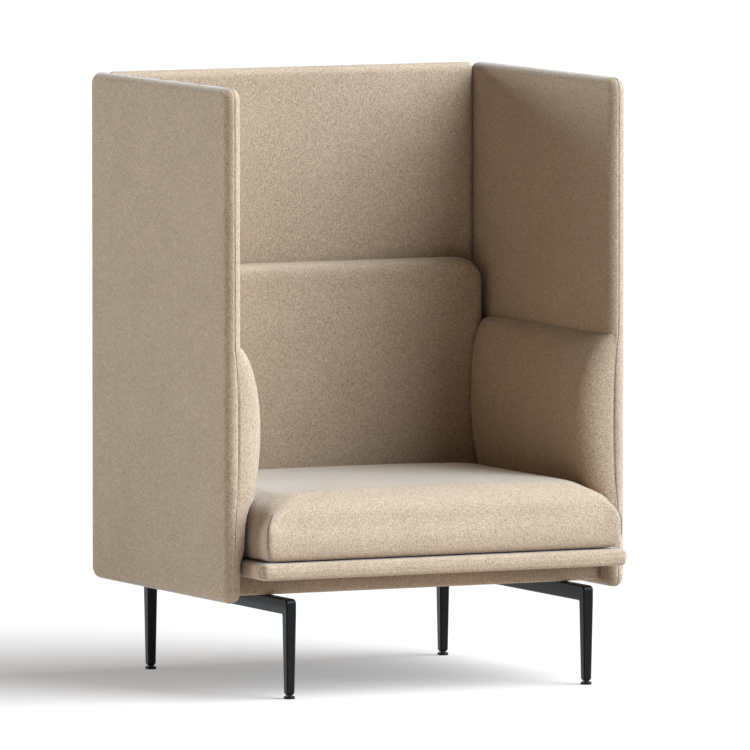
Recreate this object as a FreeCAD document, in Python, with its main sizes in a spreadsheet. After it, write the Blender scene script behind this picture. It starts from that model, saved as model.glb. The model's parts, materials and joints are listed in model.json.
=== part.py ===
import FreeCAD, Part
import math
import os
import Sketcher
from FreeCAD import Placement, Rotation, Vector

# High-back sofa for one person: padded side and back panels round a loose seat cushion on a deck,
# carried by a wooden seat frame on two cast leg frames with levelling glides.
# Millimetres, +Z up, front towards -Y, +X to the right of somebody facing the sofa.
# The origin is on the floor under the middle of the outline.

SIZES = {
    # Outline
    "overall_width": 876,
    "overall_depth": 737,
    "overall_height": 1200,
    # Side and back panels
    "panel_thickness": 35,
    "panel_depth": 650,
    "panel_bottom": 185,
    "panel_corner": 24,
    "panel_foam": 10,
    "panel_board": 15,
    "panel_seam": 0.5,
    "panel_gap": 0.5,
    "glue_gap": 0.2,
    # Seat deck
    "deck_width": 797,
    "deck_top": 270.5,
    "deck_thickness": 33.5,
    "deck_corner": 14,
    "deck_round": 10,
    "deck_board": 18,
    "deck_wrap": 8,
    # Wooden seat frame
    "frame_bottom": 199,
    "rail_thickness": 22,
    "front_rail_setback": 132,
    "rail_cover": 1.5,
    "bearer_width": 60,
    "bearer_bottom": 197,
    "block_leg": 60,
    "dust_cover": 1,
    # Leg frames
    "leg_spacing_across": 651,
    "leg_spacing_along": 651,
    "leg_centre_back": -3.5,
    "leg_width": 22,
    "leg_foot_width": 17,
    "leg_edge": 2.5,
    "leg_elbow_round": 9,
    "leg_inner_round": 7,
    "leg_end": 8,
    "leg_end_taper": 4,
    "bar_height": 30.5,
    # Levelling glides
    "glide_pad_diameter": 22,
    "glide_pad_height": 5,
    "glide_collar_diameter": 13,
    "glide_stem_diameter": 8,
    "glide_stem_length": 24,
    "glide_bore_clearance": 0.08,
    "glide_travel": 10,
    # Seat cushion
    "seat_bottom": 272,
    "seat_top": 399,
    "seat_crown": 9,
    "seat_front_half": 386,
    "seat_rear_half": 371,
    "seat_front": -362,
    "seat_rear": 244,
    "seat_round": 34,
    "seat_draw": 4,
    # Back cushion
    "back_half": 389,
    "back_bottom": 270.8,
    "back_top": 809,
    "back_front": 246,
    "back_gap": 1.5,
    "back_crown": 9,
    "back_round": 30,
    # Arm bolsters
    "bolster_top": 690,
    "bolster_swell": 56,
    "bolster_front_round": 42,
    "bolster_rear": 254,
    # Fasteners
    "panel_bolt_diameter": 8,
    "panel_bolt_head": 13,
    "panel_bolt_head_height": 5,
    "panel_insert_diameter": 12,
    "panel_insert_length": 13,
    "leg_screw_diameter": 6,
    "leg_screw_head": 10,
    "leg_screw_head_height": 6,
    "leg_screw_web": 12,
    "leg_screw_length": 32,
    "leg_insert_diameter": 9,
    "leg_insert_length": 22,
    "wood_screw_diameter": 4.5,
    "wood_screw_head": 8,
    "wood_screw_head_height": 2.5,
    "hole_clearance": 0.2,
    "bracket_flange": 25,
    "bracket_thickness": 3,
    "bracket_height": 50,
    # Grip strips
    "strip_width": 50,
    "strip_thickness": 1.2,
}

doc = FreeCAD.newDocument("HighBackSofa")
sheet = doc.addObject("Spreadsheet::Sheet", "Dimensions")
for row, (alias, number) in enumerate(SIZES.items(), start=1):
    sheet.set(f"A{row}", alias)
    sheet.set(f"B{row}", str(number))
    sheet.setAlias(f"B{row}", alias)
doc.recompute()


class Size:
    """A length that carries its value and the sheet expression that gives it."""

    def __init__(self, value, text):
        self.value = value
        self.text = text

    def __add__(self, other):
        other = as_size(other)
        return Size(self.value + other.value, f"({self.text} + {other.text})")

    def __sub__(self, other):
        other = as_size(other)
        return Size(self.value - other.value, f"({self.text} - {other.text})")

    def __mul__(self, factor):
        return Size(self.value * factor, f"({self.text} * {factor})")

    def __truediv__(self, divisor):
        return Size(self.value / divisor, f"({self.text} / {divisor})")

    def __neg__(self):
        return Size(-self.value, f"(-1 * {self.text})")


def as_size(number):
    return number if isinstance(number, Size) else Size(float(number), repr(float(number)))


def size(alias):
    return Size(float(getattr(sheet, alias)), f"Dimensions.{alias}")


# Places that several pieces share
ZERO = as_size(0)
panel_mid_x = (size("overall_width") - size("panel_thickness")) / 2
panel_inner_x = size("overall_width") / 2 - size("panel_thickness")
panel_height = size("overall_height") - size("panel_bottom")
panel_mid_z = size("panel_bottom") + panel_height / 2
rear_y = size("overall_depth") / 2
front_y = -rear_y
panel_mid_y = rear_y - size("panel_depth") / 2
panel_front_y = rear_y - size("panel_depth")
back_mid_y = rear_y - size("panel_thickness") / 2
back_face_y = rear_y - size("panel_thickness")
back_panel_width = panel_inner_x * 2 - size("panel_gap") * 2
deck_bottom = size("deck_top") - size("deck_thickness")
deck_board_bottom = deck_bottom + size("deck_wrap")
rail_front_y = front_y + size("front_rail_setback")
rail_back_y = rail_front_y + size("rail_thickness")
rear_rail_y = back_face_y - size("rail_thickness")
frame_length = rear_rail_y - rail_back_y
frame_mid_y = (rear_rail_y + rail_back_y) / 2
frame_height = deck_bottom - size("frame_bottom")
frame_mid_z = size("frame_bottom") + frame_height / 2
leg_x = size("leg_spacing_across") / 2
front_leg_y = size("leg_centre_back") - size("leg_spacing_along") / 2
rear_leg_y = size("leg_centre_back") + size("leg_spacing_along") / 2
bar_top = size("bearer_bottom")
bar_bottom = bar_top - size("bar_height")

SIDES = (("left", -1), ("right", 1))
ENDS = (("front", front_leg_y), ("rear", rear_leg_y))
SHANK_SIDES = 8
HEAD_SIDES = 6
STEM_SIDES = 16
PAD_SIDES = 24
pieces = []


def bind(thing, path, length):
    thing.setExpression(path, length.text)


def place(thing, x=ZERO, y=ZERO, z=ZERO, turn=0):
    """Puts a piece at bound coordinates, turned by whole degrees about its upright axis."""
    thing.Placement = Placement(Vector(x.value, y.value, z.value), Rotation(Vector(0, 0, 1), turn))
    bind(thing, "Placement.Base.x", x)
    bind(thing, "Placement.Base.y", y)
    bind(thing, "Placement.Base.z", z)


def new_body(name):
    return doc.addObject("PartDesign::Body", name)


def keep(thing, label):
    """Marks an object as a finished sub-part under its own name."""
    thing.Label = label
    pieces.append(thing)
    return thing


def sketch_on(body, name, role, offset=None):
    sketch = body.newObject("Sketcher::SketchObject", name)
    plane = next(f for f in body.Origin.OriginFeatures if f.Role == role)
    sketch.AttachmentSupport = [(plane, "")]
    sketch.MapMode = "FlatFace"
    if offset is not None:
        sketch.AttachmentOffset = Placement(Vector(0, 0, offset.value), Rotation())
        bind(sketch, "AttachmentOffset.Base.z", offset)
    return sketch


def dimension(sketch, kind, *where_and_size):
    *where, length = where_and_size
    index = sketch.addConstraint(Sketcher.Constraint(kind, *where, length.value))
    bind(sketch, f"Constraints[{index}]", length)


def polygon(sketch, corners):
    """Closed outline of straight lines through (x, y) sizes."""
    first = sketch.GeometryCount
    count = len(corners)
    points = [Vector(x.value, y.value, 0) for x, y in corners]
    for i in range(count):
        sketch.addGeometry(Part.LineSegment(points[i], points[(i + 1) % count]), False)
    for i in range(count):
        following = first + (i + 1) % count
        sketch.addConstraint(Sketcher.Constraint("Coincident", first + i, 2, following, 1))
    for i, (x, y) in enumerate(corners):
        for kind, axis, length in (("DistanceX", -2, x), ("DistanceY", -1, y)):
            if length.value == 0:
                sketch.addConstraint(Sketcher.Constraint("PointOnObject", first + i, 1, axis))
            else:
                dimension(sketch, kind, -1, 1, first + i, 1, length)


def rectangle(sketch, width, height):
    x = width / 2
    y = height / 2
    polygon(sketch, [(-x, -y), (x, -y), (x, y), (-x, y)])


def rounded_rectangle(sketch, width, height, radius):
    """Rectangle about the sketch's origin with four equal corner arcs."""
    w = width.value / 2
    h = height.value / 2
    r = radius.value
    first = sketch.GeometryCount
    for cx, cy, start in ((w - r, r - h, -90), (w - r, h - r, 0), (r - w, h - r, 90), (r - w, r - h, 180)):
        circle = Part.Circle(Vector(cx, cy, 0), Vector(0, 0, 1), r)
        arc = Part.ArcOfCircle(circle, math.radians(start), math.radians(start + 90))
        sketch.addGeometry(arc, False)
    for a, b in (((w, r - h), (w, h - r)), ((w - r, h), (r - w, h)), ((-w, h - r), (-w, r - h)),
                 ((r - w, -h), (w - r, -h))):
        sketch.addGeometry(Part.LineSegment(Vector(*a, 0), Vector(*b, 0)), False)
    right, top, left, bottom = range(first + 4, first + 8)
    for i in range(4):
        following = first + (i + 1) % 4
        sketch.addConstraint(Sketcher.Constraint("Tangent", first + i, 2, first + 4 + i, 1))
        sketch.addConstraint(Sketcher.Constraint("Tangent", first + 4 + i, 2, following, 1))
    for line in (right, left):
        sketch.addConstraint(Sketcher.Constraint("Vertical", line))
    for line in (top, bottom):
        sketch.addConstraint(Sketcher.Constraint("Horizontal", line))
    for i in range(1, 4):
        sketch.addConstraint(Sketcher.Constraint("Equal", first, first + i))
    dimension(sketch, "Radius", first, radius)
    dimension(sketch, "DistanceX", -1, 1, right, 1, width / 2)
    dimension(sketch, "DistanceX", left, 1, -1, 1, width / 2)
    dimension(sketch, "DistanceY", -1, 1, top, 1, height / 2)
    dimension(sketch, "DistanceY", bottom, 1, -1, 1, height / 2)


def regular_polygon(sketch, sides, diameter):
    """Polygon about the sketch's origin, measured across its corners, with a corner clear of the axes."""
    turns = [2 * math.pi * (i + 0.5) / sides for i in range(sides)]
    radius = diameter / 2
    polygon(sketch, [(radius * math.cos(a), radius * math.sin(a)) for a in turns])


def pad(body, sketch, length, side="One side"):
    feature = body.newObject("PartDesign::Pad", sketch.Name + "Pad")
    feature.Profile = sketch
    feature.SideType = side
    bind(feature, "Length", length)
    return feature


def pocket(body, sketch, length, reverse=False):
    """Cuts a sketch into the body and makes sure that the cut takes something away."""
    doc.recompute()
    before = body.Shape.Volume
    feature = body.newObject("PartDesign::Pocket", sketch.Name + "Pocket")
    feature.Profile = sketch
    feature.Reversed = reverse
    bind(feature, "Length", length)
    doc.recompute()
    if body.Shape.Volume > before - 1:
        raise RuntimeError(f"{feature.Name} cuts nothing")
    return feature


def ease_edges(body, feature, length, chosen):
    """Chamfers the edges of a feature that the test picks."""
    doc.recompute()
    names = [f"Edge{i}" for i, edge in enumerate(feature.Shape.Edges, start=1) if chosen(edge)]
    chamfer = body.newObject("PartDesign::Chamfer", feature.Name + "Chamfer")
    chamfer.Base = (feature, names)
    bind(chamfer, "Size", length)
    return chamfer


def round_edges(body, feature, radius, chosen):
    """Fillets the edges of a feature that the test picks."""
    doc.recompute()
    names = [f"Edge{i}" for i, edge in enumerate(feature.Shape.Edges, start=1) if chosen(edge)]
    fillet = body.newObject("PartDesign::Fillet", feature.Name + "Fillet")
    fillet.Base = (feature, names)
    bind(fillet, "Radius", radius)
    return fillet


def edge_at(axis, level):
    """Test for edges that lie wholly at one level along an axis (0 is X, 1 is Y, 2 is Z)."""
    return lambda edge: all(abs(vertex.Point[axis] - level) < 0.01 for vertex in edge.Vertexes)


def block(name, width, depth, height):
    """Square-edged wooden member about its own middle."""
    body = new_body(name)
    sketch = sketch_on(body, name + "Section", "XY_Plane")
    rectangle(sketch, width, depth)
    pad(body, sketch, height, "Symmetric")
    return body


def aim(x, y, z, direction):
    return Placement(Vector(x, y, z), Rotation(Vector(0, 0, 1), Vector(*direction)))


def copies(name, template, places):
    """Group of separate solids: one copy of a template body at every place."""
    doc.recompute()
    group = doc.addObject("Part::Feature", name)
    solids = []
    for where in places:
        solid = template.Shape.copy()
        solid.Placement = where.multiply(solid.Placement)
        solids.append(solid)
    group.Shape = Part.makeCompound(solids)
    return group


def drill(name, diameter, length):
    """Tool along +Z for the hole of a fastener, with the same flats as its shank."""
    body = new_body(name)
    sketch = sketch_on(body, name + "Section", "XY_Plane")
    regular_polygon(sketch, SHANK_SIDES, diameter)
    pad(body, sketch, length)
    return body


def round_drill(name, diameter, length):
    tool = doc.addObject("Part::Cylinder", name)
    bind(tool, "Radius", diameter / 2)
    bind(tool, "Height", length)
    return tool


def drilled(thing, tools, label):
    """The piece with holes cut at every place of every (template, places) pair."""
    groups = [copies(f"{label}_holes_{i}", tool, places) for i, (tool, places) in enumerate(tools)]
    together = doc.addObject("Part::Compound", label + "_holes")
    together.Links = groups
    cut = doc.addObject("Part::Cut", label + "_drilled")
    cut.Base = thing
    cut.Tool = together
    return keep(cut, label)


# Fastener patterns: places point the way the fastener goes in.
# Repeated shanks, holes and glides have flats in place of a round, to keep the model light.

PANEL_BOLT_SPOTS = (-120, 240)
BACK_BOLT_SPOTS = (-170, 170)
BRACKET_LEVELS = (450, 640)
BRACKET_SCREW_OFFSET = 14
LEG_SCREW_SPOTS = (-150, 230)
BLOCK_SCREW_OFFSET = 18


def side_bolt_places(sign):
    x = sign * (panel_inner_x - size("rail_thickness")).value
    return [aim(x, y, frame_mid_z.value, (sign, 0, 0)) for y in PANEL_BOLT_SPOTS]


def side_insert_places(sign):
    x = sign * (panel_inner_x + size("panel_foam")).value
    return [aim(x, y, frame_mid_z.value, (sign, 0, 0)) for y in PANEL_BOLT_SPOTS]


def back_bolt_places():
    return [aim(x, rear_rail_y.value, frame_mid_z.value, (0, 1, 0)) for x in BACK_BOLT_SPOTS]


def back_insert_places():
    y = (back_face_y + size("panel_foam")).value
    return [aim(x, y, frame_mid_z.value, (0, 1, 0)) for x in BACK_BOLT_SPOTS]


def bracket_side_places(sign):
    x = sign * (panel_inner_x - size("bracket_thickness")).value
    y = back_face_y.value - BRACKET_SCREW_OFFSET
    return [aim(x, y, level, (sign, 0, 0)) for level in BRACKET_LEVELS]


def bracket_back_places(sign):
    x = sign * (panel_inner_x.value - BRACKET_SCREW_OFFSET)
    y = (back_face_y - size("bracket_thickness")).value
    return [aim(x, y, level, (0, 1, 0)) for level in BRACKET_LEVELS]


def leg_screw_places(sign):
    z = (bar_top - size("leg_screw_web")).value
    return [aim(sign * leg_x.value, y, z, (0, 0, 1)) for y in LEG_SCREW_SPOTS]


def leg_insert_places(sign):
    return [aim(sign * leg_x.value, y, bar_top.value, (0, 0, 1)) for y in LEG_SCREW_SPOTS]


def block_corners():
    """Inner corners of the seat frame as (x, y, direction to the middle in x, in y)."""
    x = (leg_x - size("bearer_width") / 2).value
    return [(sx * x, y, -sx, sy) for sx in (-1, 1)
            for y, sy in ((rail_back_y.value, 1), (rear_rail_y.value, -1))]


def deck_screw_places():
    z = size("frame_bottom").value
    return [aim(x + dx * BLOCK_SCREW_OFFSET, y + dy * BLOCK_SCREW_OFFSET, z, (0, 0, 1))
            for x, y, dx, dy in block_corners()]


clearance = size("hole_clearance")
bolt_reach = size("rail_thickness") + size("panel_foam") + size("panel_insert_length") - 1
bracket_screw_reach = size("bracket_thickness") + size("panel_foam") + 12
deck_screw_reach = frame_height + size("deck_wrap") + 12

bolt_drill = drill("BoltDrill", size("panel_bolt_diameter") + clearance * 2, bolt_reach)
insert_drill = drill("InsertDrill", size("panel_insert_diameter") + clearance, size("panel_insert_length"))
bracket_drill = drill("BracketDrill", size("wood_screw_diameter") + clearance, bracket_screw_reach)
deck_drill = drill("DeckDrill", size("wood_screw_diameter") + clearance, deck_screw_reach)
leg_drill = drill("LegDrill", size("leg_screw_diameter") + clearance * 2, size("leg_screw_length"))
leg_counterbore = drill("LegCounterbore", size("leg_screw_head") + 1, size("bar_height"))
leg_insert_drill = drill("LegInsertDrill", size("leg_insert_diameter") + clearance, size("leg_insert_length"))


# Panels

def panel_board(name, role, width):
    """Plywood core of a panel, set in from the padded outline by the foam on its edges."""
    body = new_body(name)
    sketch = sketch_on(body, name + "Outline", role)
    foam = size("panel_foam") * 2
    rounded_rectangle(sketch, width - foam, panel_height - foam, size("panel_corner") - size("panel_foam"))
    pad(body, sketch, size("panel_board"), "Symmetric")
    return body


def panel_half(name, role, axis, sign, width):
    """Padded cover of half a panel, from the seam plane out to the full round of the edge."""
    body = new_body(name)
    half = size("panel_thickness") / 2
    outline = sketch_on(body, name + "Outline", role)
    rounded_rectangle(outline, width, panel_height, size("panel_corner"))
    slab = pad(body, outline, half)
    round_edges(body, slab, half - size("panel_seam"), edge_at(axis, sign * half.value))
    recess = sketch_on(body, name + "Recess", role)
    foam = (size("panel_foam") - size("glue_gap")) * 2
    rounded_rectangle(recess, width - foam, panel_height - foam, size("panel_corner") - size("panel_foam"))
    pocket(body, recess, size("panel_board") / 2, reverse=True)
    return body


def build_side_panels():
    for side, sign in SIDES:
        x = panel_mid_x * sign
        board = panel_board(f"{side}_board", "YZ_Plane", size("panel_depth"))
        outer = panel_half(f"{side}_outer", "YZ_Plane", 0, 1, size("panel_depth"))
        inner = panel_half(f"{side}_inner", "YZ_Plane", 0, 1, size("panel_depth"))
        place(board, x, panel_mid_y, panel_mid_z)
        place(outer, x, panel_mid_y, panel_mid_z, 0 if sign > 0 else 180)
        place(inner, x, panel_mid_y, panel_mid_z, 180 if sign > 0 else 0)
        screws = (bracket_drill, bracket_side_places(sign))
        bolts = (bolt_drill, side_bolt_places(sign))
        drilled(board, [screws, bolts, (insert_drill, side_insert_places(sign))], f"{side}_panel_board")
        drilled(inner, [screws, bolts], f"{side}_panel_inner_pad")
        keep(outer, f"{side}_panel_outer_pad")


def build_back_panel():
    board = panel_board("back_board", "XZ_Plane", back_panel_width)
    front = panel_half("back_front", "XZ_Plane", 1, -1, back_panel_width)
    rear = panel_half("back_rear", "XZ_Plane", 1, -1, back_panel_width)
    place(board, ZERO, back_mid_y, panel_mid_z)
    place(front, ZERO, back_mid_y, panel_mid_z)
    place(rear, ZERO, back_mid_y, panel_mid_z, 180)
    screws = (bracket_drill, bracket_back_places(-1) + bracket_back_places(1))
    bolts = (bolt_drill, back_bolt_places())
    drilled(board, [screws, bolts, (insert_drill, back_insert_places())], "back_panel_board")
    drilled(front, [screws, bolts], "back_panel_front_pad")
    keep(rear, "back_panel_rear_pad")


# Seat frame and deck

def build_frame():
    rail = size("rail_thickness")
    across = panel_inner_x * 2
    bolts = {sign: (bolt_drill, side_bolt_places(sign)) for side, sign in SIDES}
    front = block("front_member", across, rail, frame_height)
    place(front, ZERO, rail_front_y + rail / 2, frame_mid_z)
    keep(front, "front_rail")
    rear = block("rear_member", across, rail, frame_height)
    place(rear, ZERO, rear_rail_y + rail / 2, frame_mid_z)
    drilled(rear, [(bolt_drill, back_bolt_places())], "rear_rail")
    for side, sign in SIDES:
        member = block(f"{side}_member", rail, frame_length, frame_height)
        place(member, (panel_inner_x - rail / 2) * sign, frame_mid_y, frame_mid_z)
        drilled(member, [bolts[sign]], f"{side}_rail")
        bearer_height = deck_bottom - size("bearer_bottom")
        bearer = block(f"{side}_bearer", size("bearer_width"), frame_length, bearer_height)
        place(bearer, leg_x * sign, frame_mid_y, size("bearer_bottom") + bearer_height / 2)
        drilled(bearer, [(leg_insert_drill, leg_insert_places(sign))], f"{side}_leg_bearer")


def build_corner_blocks():
    """Triangular glue blocks in the four inner corners, each with a hole for a deck screw."""
    body = new_body("corner_block")
    sketch = sketch_on(body, "CornerBlockSection", "XY_Plane")
    leg = size("block_leg")
    polygon(sketch, [(ZERO, ZERO), (leg, ZERO), (ZERO, leg)])
    pad(body, sketch, frame_height)
    quarter = {(1, 1): 0, (-1, 1): 90, (-1, -1): 180, (1, -1): 270}
    places = [Placement(Vector(x, y, size("frame_bottom").value), Rotation(Vector(0, 0, 1), quarter[dx, dy]))
              for x, y, dx, dy in block_corners()]
    drilled(copies("corner_block_set", body, places), [(deck_drill, deck_screw_places())], "corner_blocks")


def build_covers():
    """Fabric on the front rail, turned under its lower edge, and the dust cover under the frame."""
    thickness = size("rail_cover")
    cover = new_body("rail_cover_strip")
    section = sketch_on(cover, "RailCoverSection", "YZ_Plane")
    low = size("frame_bottom") - thickness
    out = rail_front_y - thickness
    polygon(section, [(out, deck_bottom), (out, low), (rail_back_y, low), (rail_back_y, size("frame_bottom")),
                      (rail_front_y, size("frame_bottom")), (rail_front_y, deck_bottom)])
    strip = pad(cover, section, panel_inner_x * 2, "Symmetric")
    round_edges(cover, strip, thickness * 0.9,
                lambda e: edge_at(1, out.value)(e) and edge_at(2, low.value)(e))
    keep(cover, "front_rail_cover")
    width = (leg_x - size("bearer_width") / 2) * 2
    dust = block("dust_sheet", width, frame_length + 12, size("dust_cover"))
    place(dust, ZERO, frame_mid_y + 6, size("frame_bottom") - size("dust_cover") / 2)
    heads = [Placement(spot.Base - Vector(0, 0, 5), spot.Rotation) for spot in deck_screw_places()]
    drilled(dust, [(deck_drill_head, heads)], "dust_cover")


def deck_form(name, width, depth, height, corner):
    """Flat slab reaching forward from its rear edge, with its two front corners rounded in plan."""
    body = new_body(name)
    outline = sketch_on(body, name + "Outline", "XY_Plane")
    half = width / 2
    polygon(outline, [(-half, -depth), (half, -depth), (half, ZERO), (-half, ZERO)])
    slab = pad(body, outline, height)
    front = edge_at(1, -depth.value)
    upright = lambda e: front(e) and abs(e.Vertexes[0].Z - e.Vertexes[-1].Z) > 1
    return body, round_edges(body, slab, corner, upright)


def build_deck():
    """Upholstered platform: a padded sleeve, open at its rear edge, over a plywood board."""
    depth = back_face_y - front_y
    wrap = size("deck_wrap")
    thickness = size("deck_thickness")
    sleeve, rounded = deck_form("deck_sleeve", size("deck_width"), depth, thickness, size("deck_corner"))
    levels = (0, thickness.value)
    rear = edge_at(1, 0)
    round_edges(sleeve, rounded, size("deck_round"),
                lambda e: not rear(e) and any(edge_at(2, level)(e) for level in levels))
    place(sleeve, ZERO, back_face_y, deck_bottom)
    cores = []
    for name, gap in (("deck_hollow", size("glue_gap")), ("deck_panel", ZERO)):
        core, tip = deck_form(name, size("deck_width") - wrap * 2 + gap * 2, depth - wrap + gap,
                              size("deck_board"), size("deck_corner") - wrap + gap)
        place(core, ZERO, back_face_y, deck_board_bottom)
        cores.append(core)
    hollow, board = cores
    padding = doc.addObject("Part::Cut", "deck_padding")
    padding.Base = sleeve
    padding.Tool = hollow
    drilled(padding, [(deck_drill, deck_screw_places())], "seat_deck_pad")
    drilled(board, [(deck_drill, deck_screw_places())], "seat_deck_board")


# Leg frames and glides

def leg_section(body, name, width, edge, y, level):
    """Square section of a leg at one level, with eased corners."""
    sketch = sketch_on(body, name, "XY_Plane", level)
    sketch.AttachmentOffset = Placement(Vector(0, y.value, level.value), Rotation())
    bind(sketch, "AttachmentOffset.Base.y", y)
    far = width / 2
    near = far - edge
    polygon(sketch, [(near, -far), (far, -near), (far, near), (near, far),
                     (-near, far), (-far, near), (-far, -near), (-near, -far)])
    return sketch


def build_leg_frame(side, sign):
    """Cast frame: a bar along the depth with rounded elbows and a tapering leg at each end."""
    name = f"{side}_leg_casting"
    body = new_body(name)
    half = size("leg_width") / 2
    bar_front = front_leg_y - half
    bar_rear = rear_leg_y + half
    profile = sketch_on(body, name + "Bar", "YZ_Plane")
    polygon(profile, [(bar_front, bar_bottom), (bar_rear, bar_bottom),
                      (bar_rear, bar_top), (bar_front, bar_top)])
    bar = pad(body, profile, size("leg_width"), "Symmetric")
    elbows = round_edges(body, bar, size("leg_elbow_round"),
                         lambda e: edge_at(2, bar_top.value)(e)
                         and any(edge_at(1, y.value)(e) for y in (bar_front, bar_rear)))
    ease_edges(body, elbows, size("leg_edge"),
               lambda e: any(edge_at(0, x)(e) for x in (-half.value, half.value)))
    top_level = bar_top - size("leg_elbow_round") - 2
    foot_level = size("leg_end") + size("leg_end_taper")
    for end, y in ENDS:
        width = size("leg_width") - 0.1
        levels = (("root", width, size("leg_edge"), top_level),
                  ("neck", width, size("leg_edge"), bar_bottom),
                  ("foot", size("leg_foot_width"), size("leg_edge"), foot_level),
                  ("sole", size("leg_foot_width") - size("leg_end_taper"), size("leg_edge"), size("leg_end")))
        root, *others = [leg_section(body, f"{name}_{end}_{part}", wide, edge, y, level)
                         for part, wide, edge, level in levels]
        leg = body.newObject("PartDesign::AdditiveLoft", f"{name}_{end}_leg")
        leg.Profile = root
        leg.Sections = others
        leg.Ruled = True
    for end, y, inward in (("front", front_leg_y, 1), ("rear", rear_leg_y, -1)):
        web = sketch_on(body, f"{name}_{end}_web", "YZ_Plane")
        inner_fillet(web, y + half * inward, inward)
        pad(body, web, size("leg_width") - size("leg_edge") * 2, "Symmetric")
    place(body, leg_x * sign)
    bore_depth = size("glide_stem_length") + size("glide_travel")
    bore_width = size("glide_stem_diameter") + size("glide_bore_clearance") * 2
    bore = round_drill(name + "_glide_bore", bore_width, bore_depth)
    glides = [aim(sign * leg_x.value, y.value, size("leg_end").value, (0, 0, 1)) for end, y in ENDS]
    heads = [aim(sign * leg_x.value, y, (bar_top - size("leg_screw_web")).value, (0, 0, -1))
             for y in LEG_SCREW_SPOTS]
    drilled(body, [(bore, glides), (leg_drill, leg_screw_places(sign)), (leg_counterbore, heads)],
            f"{side}_leg_frame")


def inner_fillet(sketch, y, inward):
    """Hollow corner between a leg's inner side and the underside of the bar."""
    radius = size("leg_inner_round")
    sunk = as_size(1)
    r = radius.value
    corner_y = y.value - inward * sunk.value
    corner_z = bar_bottom.value + sunk.value
    far_y = y.value + inward * r
    low_z = bar_bottom.value - r
    centre = Vector(far_y, low_z, 0)
    start = Vector(y.value, low_z, 0)
    end = Vector(far_y, bar_bottom.value, 0)
    middle = centre + Vector(-inward * r, r, 0) * math.sqrt(0.5)
    points = [end, Vector(far_y, corner_z, 0), Vector(corner_y, corner_z, 0),
              Vector(corner_y, low_z, 0), start]
    for a, b in zip(points, points[1:]):
        sketch.addGeometry(Part.LineSegment(a, b), False)
    sketch.addGeometry(Part.Arc(start, middle, end), False)
    for i in range(4):
        sketch.addConstraint(Sketcher.Constraint("Block", i))


def build_glides():
    """Levelling feet: a stem with a hexagonal collar under the leg, on a round pad."""
    collar = size("glide_collar_diameter")
    pad_top = size("glide_pad_height")
    for end, y in ENDS:
        for side, sign in SIDES:
            stem = new_body(f"stem_{end}_{side}")
            hexagon = sketch_on(stem, f"collar_{end}_{side}", "XY_Plane", pad_top)
            regular_polygon(hexagon, HEAD_SIDES, collar)
            pad(stem, hexagon, size("leg_end") - pad_top)
            shank = sketch_on(stem, f"shank_{end}_{side}", "XY_Plane", size("leg_end"))
            regular_polygon(shank, STEM_SIDES, size("glide_stem_diameter"))
            pad(stem, shank, size("glide_stem_length"))
            foot = new_body(f"foot_{end}_{side}")
            disc = sketch_on(foot, f"disc_{end}_{side}", "XY_Plane")
            regular_polygon(disc, PAD_SIDES, size("glide_pad_diameter"))
            pad(foot, disc, pad_top)
            for body, label in ((stem, "glide_stem"), (foot, "glide_pad")):
                place(body, leg_x * sign, y)
                keep(body, f"{label}_{end}_{side}")


# Soft forms: lofts through closed sections of lines and arcs

def through(a, middle, b):
    return Part.Arc(Vector(*a), Vector(*middle), Vector(*b)).toShape()


def line(a, b):
    return Part.LineSegment(Vector(*a), Vector(*b)).toShape()


def pillow_section(lift, half, low, high, crown, low_bevel, high_round):
    """Closed outline, flat with bevelled corners at its low side, crowned with round ones at its high side.

    lift turns the flat (u, v) of the section into a point of the piece.
    """
    diagonal = math.sqrt(0.5)
    r, q = high_round, low_bevel
    edges = [line(lift(q - half, low), lift(half - q, low))]
    corner = lambda u, v, s, t, k: lift(u + s * k * diagonal, v + t * k * diagonal)
    edges.append(line(lift(half - q, low), lift(half, low + q)))
    edges.append(line(lift(half, low + q), lift(half, high - r)))
    edges.append(through(lift(half, high - r), corner(half - r, high - r, 1, 1, r), lift(half - r, high)))
    edges.append(through(lift(half - r, high), lift(0, high + crown), lift(r - half, high)))
    edges.append(through(lift(r - half, high), corner(r - half, high - r, -1, 1, r), lift(-half, high - r)))
    edges.append(line(lift(-half, high - r), lift(-half, low + q)))
    edges.append(line(lift(-half, low + q), lift(q - half, low)))
    return Part.Wire(edges)


def inset_of(distance, radius):
    """How far a round of this radius has drawn in at a distance from its end."""
    if distance >= radius:
        return 0.0
    return radius - math.sqrt(radius ** 2 - (radius - distance) ** 2)


END_STEPS = (0.0, 0.13, 0.45, 1.0)


def seat_form():
    """Boxed cushion: full front corners, narrower between the arm bolsters, crowned on top."""
    front, rear = size("seat_front").value, size("seat_rear").value
    low, high = size("seat_bottom").value, size("seat_top").value
    radius, crown = size("seat_round").value, size("seat_crown").value
    wide, narrow = size("seat_front_half").value, size("seat_rear_half").value
    squeeze = panel_front_y.value
    stations = [(front + radius * s, radius * s, wide) for s in END_STEPS]
    stations.append((squeeze - 20, radius, wide))
    stations.append((squeeze + 15, radius, narrow))
    stations.append(((squeeze + rear) / 2, radius, narrow - size("seat_draw").value))
    stations += [(rear - radius * s, radius * s, narrow) for s in reversed(END_STEPS)]
    wires = []
    for y, reach, half in stations:
        drawn = inset_of(reach, radius)
        fullness = crown * (1 - 0.8 * drawn / radius)
        height = high - low - drawn * 1.6
        corner = min(radius, height * 0.42)
        wires.append(pillow_section(lambda u, v, y=y: (u, y, v), half - drawn, low + drawn * 0.6,
                                    high - drawn, fullness, corner * 0.5, corner))
    return Part.makeLoft(wires, True, True)


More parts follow.
